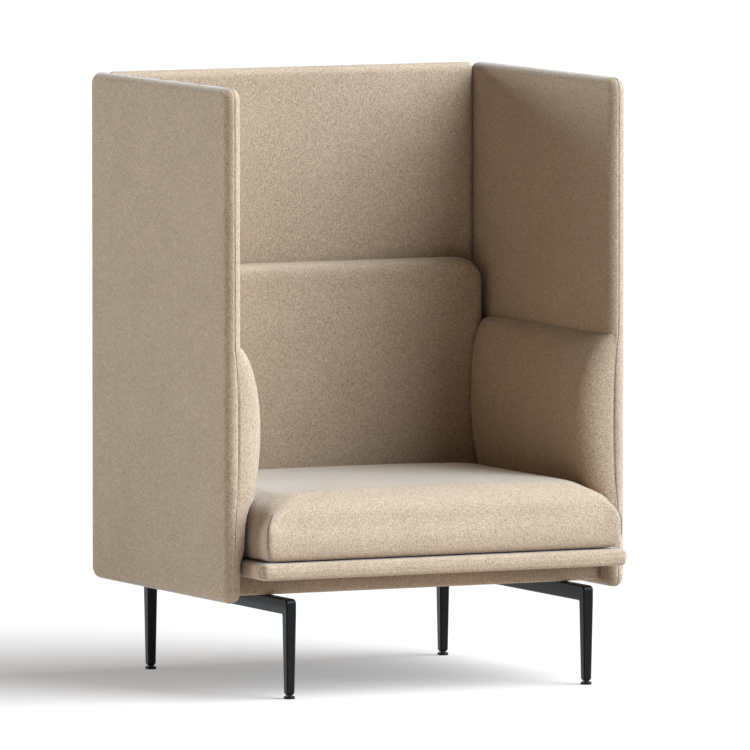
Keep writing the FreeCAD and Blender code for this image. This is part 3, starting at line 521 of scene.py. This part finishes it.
def pillow_rings(half_a, half_b, corner, low, high, low_round, high_round, crown, bulge, counts,
                 top_corner=0.0):
    """Rings of a boxed cushion from the middle of its flat side over its edge to the middle of its crown.

    With a top_corner, the corners grow rounder over the upper edge.
    """
    rings = []
    insets = [s * (half_b - PILLOW_MIDDLE) for s in DEPTH_STEPS]

    def add(inset, level, eased=0.0):
        radius = corner if eased == 0 else inset + corner + (top_corner - corner) * eased
        ring = rounded_ring(half_a, half_b, radius, inset, counts)
        rings.append(np.column_stack((ring, np.full(len(ring), level))))

    for inset in reversed([i for i in insets if i > low_round]):
        add(inset, low)
    for turn in quarter(ROUND_STEPS):
        add(low_round * (1 - math.sin(turn)), low + low_round * (1 - math.cos(turn)))
    side_low, side_high = low + low_round, high - high_round
    for i in range(1, SIDE_STEPS):
        t = i / SIDE_STEPS
        add(-bulge * math.sin(math.pi * t), side_low + (side_high - side_low) * t)
    for turn in quarter(ROUND_STEPS):
        eased = math.sin(turn) if top_corner else 0.0
        add(high_round * (1 - math.cos(turn)), side_high + high_round * math.sin(turn), eased)
    for inset in [i for i in insets if i > high_round]:
        reach = (inset - high_round) / (half_b - high_round)
        eased = max(1 - EASE_RATE * reach, EASE_LEAST) if top_corner else 0.0
        add(inset, high + crown * (1 - (1 - reach) ** 2), eased)
    return rings


def evaluated_mesh(piece):
    graph = bpy.context.evaluated_depsgraph_get()
    graph.update()
    return bpy.data.meshes.new_from_object(piece.evaluated_get(graph))


def even_out(piece):
    """Gives a piece an even mesh, fine enough for cloth."""
    remesh = piece.modifiers.new("even_mesh", "REMESH")
    remesh.mode = "VOXEL"
    remesh.voxel_size = VOXEL
    fine = evaluated_mesh(piece)
    piece.modifiers.clear()
    old = piece.data
    piece.data = fine
    bpy.data.meshes.remove(old)


def blow_up(piece, pressure, held):
    """Blows a closed cover up as cloth under inner pressure, and keeps the swollen shape as its mesh.

    The function held gives the share, 0 to 1, by which each point is held by a seam or by what it rests on.
    """
    start = coordinates(piece.data)
    cloth = piece.modifiers.new("cover", "CLOTH")
    cloth.settings.quality = CLOTH_QUALITY
    cloth.settings.use_pressure = True
    cloth.settings.uniform_pressure_force = pressure
    cloth.settings.effector_weights.gravity = 0
    pins = piece.vertex_groups.new(name="held")
    for index, weight in enumerate(held(*start.T)):
        if weight > LEAST_HOLD:
            pins.add([index], float(min(weight, 1.0)), "REPLACE")
    cloth.settings.vertex_group_mass = "held"
    cloth.point_cache.frame_start = 1
    cloth.point_cache.frame_end = SIM_FRAMES
    scene = bpy.context.scene
    for step in range(1, SIM_FRAMES + 1):
        scene.frame_set(step)
    blown = evaluated_mesh(piece)
    moved = coordinates(blown) - start
    bpy.data.meshes.remove(blown)
    piece.modifiers.clear()
    piece.vertex_groups.clear()
    scene.frame_set(1)
    length = np.linalg.norm(moved, axis=1, keepdims=True)
    moved = moved / np.maximum(length, 1e-9) * SWELL_CAP * np.tanh(length / SWELL_CAP)
    set_coordinates(piece, start + moved)


def soften(piece):
    """Evens out the last unevenness of a cover."""
    work = bmesh.new()
    work.from_mesh(piece.data)
    for _ in range(SMOOTH_PASSES):
        bmesh.ops.smooth_vert(work, verts=work.verts, factor=0.5, use_axis_x=True, use_axis_y=True,
                              use_axis_z=True)
    work.to_mesh(piece.data)
    work.free()
    smooth(piece.data)


def swollen(name, rings, pressure, held):
    piece = loft(name, rings)
    even_out(piece)
    blow_up(piece, pressure, held)
    soften(piece)
    return piece


def foam_core(node, body):
    """Foam block with eased edges inside a cushion cover."""
    low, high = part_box(node)
    middle = (high + low) / 2
    half_x, half_y, half_z = (reach - FOAM_MARGIN for reach in (high - low) / 2)
    edge = min(half_x, half_y, half_z) * FOAM_EDGE
    lying = half_y > half_z
    half_b, half_c = (half_y, half_z) if lying else (half_z, half_y)
    rings = []
    for ring in pillow_rings(half_x, half_b, edge, -half_c, half_c, edge, edge, 0.0, 0.0, FOAM_COUNTS):
        x, b, c = ring.T
        y, z = (b, c) if lying else (-c, b)
        rings.append(np.column_stack((x + middle.x, y + middle.y, z + middle.z)))
    piece = loft(node + "_core", rings)
    dress(piece, body, "foam", CAD_LOOKS["foam"], node)


# Seat cushion

SEAT_HALF = 386 * MM
SEAT_FRONT = -0.3625
SEAT_CORNER = 7 * MM
SEAT_TOP_CORNER = 34 * MM
SEAT_LOW_ROUND = 13 * MM
SEAT_HIGH_ROUND = 42 * MM
SEAT_CROWN = 9 * MM
SEAT_RISE = 6 * MM
SEAT_COUNTS = (60, 48, 8)
SIDE_BULGE = 1 * MM
SEAT_PRESSURE = 4.0
SIDE_DROP = 8 * MM
FRONT_DROP = 6 * MM
CORNER_DROP = 4.5 * MM
HOLD_REACH = 20 * MM
HOLD_TOP = 0.362
BASE_HOLD = 8 * MM
BASE_FADE = 4 * MM
PANEL_LEAD = 20 * MM
PANEL_EASE = 50 * MM
BOLSTER_GAP = 1.5 * MM
LOWEST_FIT = 0.27
FREE_SIDE = 4 * MM
HEMMED_SIDE = 2 * MM
FREE_FRONT = 5 * MM
SIDE_MARGIN = 10 * MM
END_MARGIN = 8 * MM
BASE_MARGIN = 2 * MM
CORNER_TUG = 3.5 * MM
TUG_REACH = 24 * MM
TUG_TOP, TUG_TOP_FADE = 0.385, 50 * MM
TUG_FOOT, TUG_FOOT_FADE = 0.275, 30 * MM
SEAM_LEVELS = np.linspace(0.298, 0.368, 20)
SEAM_RADIUS = 1.3 * MM
LIP_RADIUS = 1.5 * MM
LIP_OFFSET = (0.4 * MM, 2.6 * MM)
CAST_FROM = 50 * MM


def shape_seat(points, rest, top, rear):
    """Seat points with the crown falling to sides and front, pressed against what stands round the seat."""
    x, y, z = points.T.copy()
    mid_y, half_y = (rear + SEAT_FRONT) / 2, (rear - SEAT_FRONT) / 2
    lift = smoothstep((z - rest) / (top - rest))
    aside = np.clip(np.abs(x) / SEAT_HALF, 0, 1)
    ahead = np.clip((mid_y - y) / half_y, 0, 1)
    z = z - lift * (SIDE_DROP * aside ** 3 + FRONT_DROP * ahead ** 5 + CORNER_DROP * (aside * ahead) ** 8)
    panel_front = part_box("left_panel_inner_pad")[0].y
    inside = smoothstep((y - (panel_front - PANEL_LEAD)) / PANEL_EASE)
    gap = PANEL_INNER - BOLSTER_SWELL * bolster_fullness(np.maximum(z, LOWEST_FIT)) - BOLSTER_GAP
    free = SEAT_HALF + FREE_SIDE
    limit = free + inside * (np.minimum(gap, SEAT_HALF - HEMMED_SIDE) - free)
    x = np.sign(x) * soft_limit(np.abs(x), limit, SIDE_MARGIN)
    y = soft_limit(y, rear, END_MARGIN)
    y = -soft_limit(-y, -SEAT_FRONT + FREE_FRONT, END_MARGIN)
    z = -soft_limit(-z, -rest, BASE_MARGIN)
    away = np.hypot(np.abs(x) - SEAT_HALF, y - SEAT_FRONT)
    tug = CORNER_TUG * np.exp(-(away / TUG_REACH) ** 2)
    tug = tug * smoothstep((TUG_TOP - z) / TUG_TOP_FADE) * smoothstep((z - TUG_FOOT) / TUG_FOOT_FADE)
    return np.column_stack((x + np.sign(x) * tug, y - tug, z))


def corner_point(piece, sign, height):
    """Point of the seat's surface at one of its upright front corners."""
    aim = Vector((-sign, 1, 0)).normalized()
    origin = Vector((sign * (SEAT_HALF + CAST_FROM), SEAT_FRONT - CAST_FROM, height))
    hit, place, _, _ = piece.ray_cast(origin, aim)
    return np.array(place if hit else origin)


def build_seat_cushion():
    """Loose boxed cushion: crowned, lying flat on the deck, pinched at a short seam in both front corners."""
    low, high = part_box("seat_cushion_cover")
    rest, top = low.z, high.z
    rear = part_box("back_cushion_cover")[0].y - 1 * MM
    mid_y, half_y = (rear + SEAT_FRONT) / 2, (rear - SEAT_FRONT) / 2
    rings = pillow_rings(SEAT_HALF, half_y, SEAT_CORNER, rest, top - SEAT_CROWN, SEAT_LOW_ROUND,
                         SEAT_HIGH_ROUND, SEAT_RISE, SIDE_BULGE, SEAT_COUNTS, SEAT_TOP_CORNER)

    def held(x, y, z):
        away = np.hypot(np.abs(x) - SEAT_HALF, np.abs(y - mid_y) - half_y)
        corners = np.exp(-(away / HOLD_REACH) ** 2) * smoothstep((HOLD_TOP - z) / HOLD_REACH)
        return np.maximum(corners, smoothstep((rest + BASE_HOLD - z) / BASE_FADE))

    rings = [np.column_stack((r[:, 0], r[:, 1] + mid_y, r[:, 2])) for r in rings]
    piece = swollen("seat_cushion_form", rings, SEAT_PRESSURE, held)
    set_coordinates(piece, shape_seat(coordinates(piece.data), rest, top, rear))
    dress(piece, "seat_cushion", "upholstery", WOOL, "seat_cushion_cover")
    bpy.context.view_layer.update()
    for side, sign in SIDES:
        path = np.array([corner_point(piece, sign, level) for level in SEAM_LEVELS])
        # The dark thread paints the shade in the corner crease along the stitched seam.
        dress(tube(f"seat_corner_seam_{side}", path, SEAM_RADIUS), "seat_cushion", "upholstery", SEAM_THREAD_AND_SHADE)
        lip = path + np.array((sign * LIP_OFFSET[0], LIP_OFFSET[1], 0))
        dress(tube(f"seat_corner_lip_{side}", lip, LIP_RADIUS), "seat_cushion", "upholstery", WOOL)
    foam_core("seat_cushion_foam", "seat_cushion")


# Back cushion

BACK_HALF = 387.5 * MM
BACK_CUSHION_CORNER = 48 * MM
BACK_REAR_ROUND = 16 * MM
BACK_FRONT_ROUND = 20 * MM
BACK_CROWN = 8 * MM
BACK_COUNTS = (60, 44, 10)
BACK_PRESSURE = 3.0
RIM_HOLD, RIM_FADE = 20 * MM, 100 * MM
REAR_HOLD, REAR_FADE = 30 * MM, 10 * MM
FRONT_GIVE = 3 * MM
FRONT_MARGIN = 6 * MM


def build_back_cushion():
    """Lower back pad: a crowned form with a full round edge, flat against the back panel."""
    low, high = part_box("back_cushion_cover")
    half_z, mid_z = (high.z - low.z) / 2, (low.z + high.z) / 2
    thick = high.y - low.y
    rings = pillow_rings(BACK_HALF, half_z, BACK_CUSHION_CORNER, 0.0, thick - BACK_CROWN, BACK_REAR_ROUND,
                         BACK_FRONT_ROUND, BACK_CROWN, SIDE_BULGE, BACK_COUNTS)

    def held(x, y, z):
        inset = np.minimum(BACK_HALF - np.abs(x), half_z - np.abs(z - mid_z))
        rim = 1 - smoothstep((inset - RIM_HOLD) / RIM_FADE)
        return np.maximum(rim, smoothstep((y - high.y + REAR_HOLD) / REAR_FADE))

    rings = [np.column_stack((r[:, 0], high.y - r[:, 2], mid_z + r[:, 1])) for r in rings]
    piece = swollen("back_cushion_form", rings, BACK_PRESSURE, held)
    x, y, z = coordinates(piece.data).T.copy()
    y = -soft_limit(-y, -low.y + FRONT_GIVE, FRONT_MARGIN)
    set_coordinates(piece, np.column_stack((x, y, z)))
    dress(piece, "sofa", "upholstery", WOOL, "back_cushion_cover")
    foam_core("back_cushion_foam", "sofa")


# Deck and front rail

DECK_TOP = 0.2705
DECK_EDGE = 10 * MM
DECK_COUNTS = (60, 48, 10)
FOLD_START = 12 * MM
FOLD_REACH = 8 * MM
FOLD_END = 3 * MM
FOLD_POWER = 1.2
FOLD_RADIUS = 1.8 * MM
FOLD_STEPS = np.linspace(0.04, 0.96, 16)
BESIDE = 0.6
APRON_ROUND = 6 * MM
APRON_SKIN = 1.2 * MM
APRON_GAP = 0.2 * MM
APRON_END = 0.5 * MM
APRON_STEPS = 80
APRON_TURNS = 6
RIPPLE = 0.5 * MM
RIPPLE_RATES = (37, 11)


def build_deck():
    """Thin padded deck, with the soft fold of its fabric at both front corners."""
    low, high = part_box("seat_deck_pad")
    mid_y = (low.y + high.y) / 2
    half_x, half_y = (high.x - low.x) / 2, (high.y - low.y) / 2
    rings = pillow_rings(half_x, half_y, DECK_EDGE, low.z, DECK_TOP, DECK_EDGE, DECK_EDGE, 0.0, SIDE_BULGE,
                         DECK_COUNTS)
    piece = loft("seat_deck_cover", [np.column_stack((r[:, 0], mid_y + r[:, 1], r[:, 2])) for r in rings])
    dress(piece, "sofa", "upholstery", WOOL, "seat_deck_pad")
    bpy.context.view_layer.update()
    for side, sign in SIDES:
        path = []
        for t in FOLD_STEPS:
            level = DECK_TOP - FOLD_END - t * (DECK_TOP - low.z - 2 * FOLD_END)
            back = low.y + FOLD_START + FOLD_REACH * math.sin(math.pi * t ** FOLD_POWER)
            hit, place, _, _ = piece.ray_cast(Vector((sign * BESIDE, back, level)), Vector((-sign, 0, 0)))
            if hit:
                path.append(np.array(place))
        dress(tube(f"deck_corner_fold_{side}", path, FOLD_RADIUS), "sofa", "upholstery", WOOL)


def build_apron():
    """Fabric over the front rail, turned under its lower edge with a small round."""
    low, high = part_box("front_rail_cover")
    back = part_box("front_rail")[0].y - APRON_GAP
    inner_low = low.z + APRON_SKIN
    outer = [(low.y, high.z)]
    for turn in quarter(APRON_TURNS):
        outer.append((low.y + APRON_ROUND * (1 - math.cos(turn)), low.z + APRON_ROUND * (1 - math.sin(turn))))
    inner = [(high.y, low.z), (high.y, inner_low), (back + APRON_ROUND / 2, inner_low),
             (back, inner_low + APRON_ROUND / 2), (back, high.z)]
    section = np.array(outer + inner)
    rings = []
    for x in np.linspace(low.x + APRON_END, high.x - APRON_END, APRON_STEPS):
        ripple = RIPPLE * math.sin(x * RIPPLE_RATES[0]) * math.sin(x * RIPPLE_RATES[1] + 1)
        ring = np.column_stack((np.full(len(section), x), section))
        ring[:len(outer), 1] -= abs(ripple)
        rings.append(ring)
    piece = loft("front_rail_fabric", rings)
    dress(piece, "sofa", "upholstery", WOOL, "front_rail_cover")


def finish_cad_nodes():
    """Procedural finishes for the CAD nodes that stay in view."""
    slots = {entry["node"]: entry["material_slot"] for entry in frame["record"]["subparts"]}
    for name, node in nodes.items():
        look = CAD_LOOKS.get(slots[name])
        if look:
            node.data.materials.clear()
            node.data.materials.append(look)


# Camera, floor and light

FLOOR_HALF = 90
FLOOR_GLOW = 0.30
CAMERA_PLACE = (-12.149, -25.384, 2.852)
CAMERA_PITCH = 4.569
CAMERA_TURN = 25.611
CAMERA_LENS = 680.53
CAMERA_SENSOR = 36
CAMERA_REACH = 200
KEY_TURN = 56
KEY_HEIGHT = 40
KEY_POWER = 10.1
KEY_SPREAD = 66
KEY_COLOUR = (0.735, 0.865, 1.0)
FILL_TURN = -136
FILL_HEIGHT = 4
FILL_POWER = 3.5
FILL_SPREAD = 20
FILL_COLOUR = (0.74, 0.90, 1.0)
LIGHT_DISTANCE = 5
WORLD_COLOUR = (1.0, 0.84, 0.68, 1)
WORLD_STRENGTH = 0.15


def build_stage():
    """Pale floor that glows a little, and a camera with a long lens."""
    far = FLOOR_HALF
    corners = [(-far, -far, 0), (far, -far, 0), (far, far, 0), (-far, far, 0)]
    floor = mesh_piece("floor", corners, [(0, 1, 2, 3)])
    paint = speckled("pale_floor", (0.455, 0.400, 0.360), (0.445, 0.390, 0.350), 3, 0.9, 0.1)
    shader = paint.node_tree.nodes["Principled BSDF"]
    shader.inputs["Emission Color"].default_value = (1, 1, 1, 1)
    shader.inputs["Emission Strength"].default_value = FLOOR_GLOW
    floor.data.materials.append(paint)
    camera_data = bpy.data.cameras.new("camera")
    camera_data.lens = CAMERA_LENS
    camera_data.sensor_width = CAMERA_SENSOR
    camera_data.clip_end = CAMERA_REACH
    camera = bpy.data.objects.new("camera", camera_data)
    camera.location = CAMERA_PLACE
    camera.rotation_euler = (math.radians(90 - CAMERA_PITCH), 0, math.radians(-CAMERA_TURN))
    bpy.context.scene.collection.objects.link(camera)
    bpy.context.scene.camera = camera


def soft_sun(name, turn, height, power, spread, colour):
    """Distant soft light, turned from the front towards the right and raised, all in degrees."""
    data = bpy.data.lights.new(name, "SUN")
    data.energy = power
    data.color = colour
    data.angle = math.radians(spread)
    light = bpy.data.objects.new(name, data)
    turn, height = math.radians(turn), math.radians(height)
    toward = Vector((math.sin(turn) * math.cos(height), -math.cos(turn) * math.cos(height), math.sin(height)))
    light.location = toward * LIGHT_DISTANCE
    light.rotation_euler = (-toward).to_track_quat("-Z", "Y").to_euler()
    bpy.context.scene.collection.objects.link(light)


def build_light():
    """One broad cool key from the right, a weak fill from the left rear, and an even warm surround."""
    world = bpy.data.worlds.new("studio")
    world.use_nodes = True
    background = world.node_tree.nodes["Background"]
    background.inputs["Color"].default_value = WORLD_COLOUR
    background.inputs["Strength"].default_value = WORLD_STRENGTH
    bpy.context.scene.world = world
    soft_sun("key", KEY_TURN, KEY_HEIGHT, KEY_POWER, KEY_SPREAD, KEY_COLOUR)
    soft_sun("fill", FILL_TURN, FILL_HEIGHT, FILL_POWER, FILL_SPREAD, FILL_COLOUR)
    bpy.context.scene.view_settings.view_transform = "Standard"


build_side_panels()
build_back_panel()
build_bolsters()
build_back_cushion()
build_seat_cushion()
build_deck()
build_apron()
finish_cad_nodes()
build_stage()
build_light()
bpy.context.view_layer.update()
